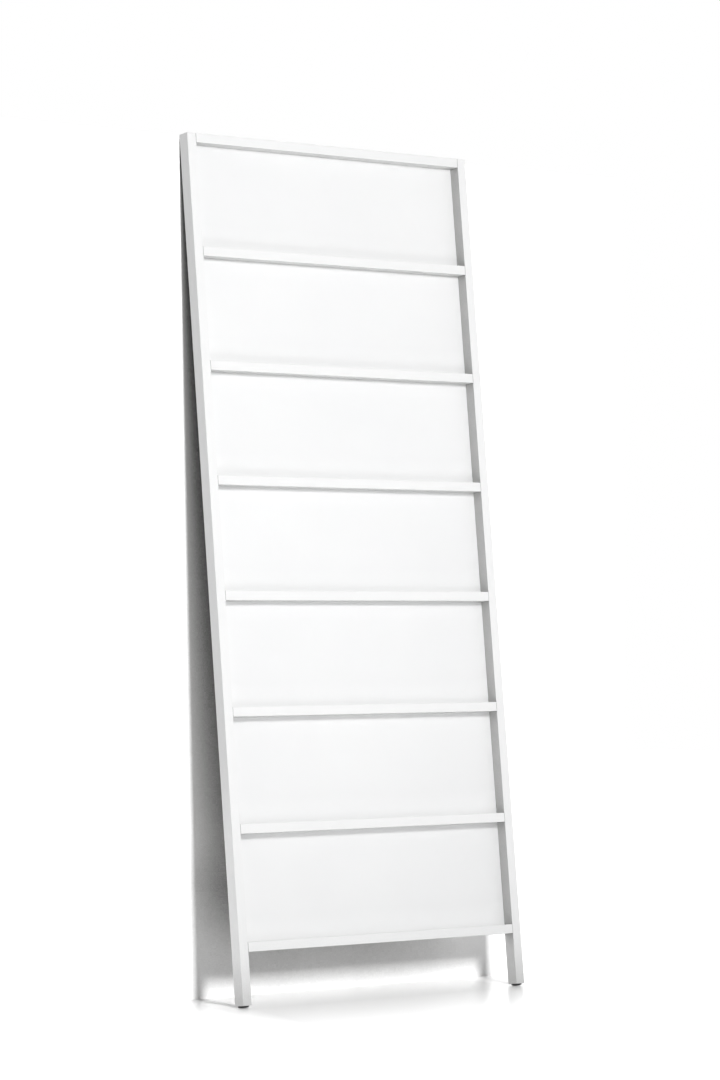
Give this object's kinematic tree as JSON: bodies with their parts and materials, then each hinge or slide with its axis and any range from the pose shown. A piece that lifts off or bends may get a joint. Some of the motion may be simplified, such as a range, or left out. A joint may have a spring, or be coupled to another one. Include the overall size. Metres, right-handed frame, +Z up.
{
  "type": "leaning wall shelf",
  "caption": "Tall white leaning shelf: slim uprights joined by shallow rails before a thin back panel, standing on domed feet with its top against a wall.",
  "frame": {"origin": "on the floor, under the middle of the whole shelf's width and depth", "axes": "+Z up from the floor, +Y towards the wall that the shelf leans on, +X to the right seen from the front"},
  "size_m": [0.95, 0.2764, 2.2848],
  "materials": {
    "white_lacquer": "satin white lacquer on board",
    "white_panel": "satin white lacquer on thin fibreboard",
    "beech": "plain beech",
    "zinc_steel": "zinc plated",
    "brass_insert": "plain brass",
    "black_plastic": "matt black",
    "grey_rubber": "matt"
  },
  "bodies": {
    "frame": {"bottom_rail": "white_lacquer", "bottom_rail_dowels": "beech", "shelf_rail_1": "white_lacquer", "shelf_rail_1_dowels": "beech", "shelf_rail_2": "white_lacquer", "shelf_rail_2_dowels": "beech", "shelf_rail_3": "white_lacquer", "shelf_rail_3_dowels": "beech", "shelf_rail_4": "white_lacquer", "shelf_rail_4_dowels": "beech", "shelf_rail_5": "white_lacquer", "shelf_rail_5_dowels": "beech", "shelf_rail_6": "white_lacquer", "shelf_rail_6_dowels": "beech", "top_rail": "white_lacquer", "top_rail_dowels": "beech", "back_panel": "white_panel", "back_panel_screws": "zinc_steel", "hanger_plate_screws": "zinc_steel", "left_upright": "white_lacquer", "left_hanger_plate": "zinc_steel", "left_wall_pad": "grey_rubber", "left_foot_insert": "brass_insert", "right_upright": "white_lacquer", "right_hanger_plate": "zinc_steel", "right_wall_pad": "grey_rubber", "right_foot_insert": "brass_insert"},
    "left_foot": {"left_foot_stud": "zinc_steel", "left_foot_glide": "black_plastic"},
    "right_foot": {"right_foot_stud": "zinc_steel", "right_foot_glide": "black_plastic"}
  },
  "joints": [
    {"name": "left_foot_adjust", "type": "slide", "parent": "frame", "child": "left_foot", "axis": [0, -0.1045, -0.9945], "range_m": [0, 0.012]},
    {"name": "right_foot_adjust", "type": "slide", "parent": "frame", "child": "right_foot", "axis": [0, -0.1045, -0.9945], "range_m": [0, 0.012]}
  ]
}
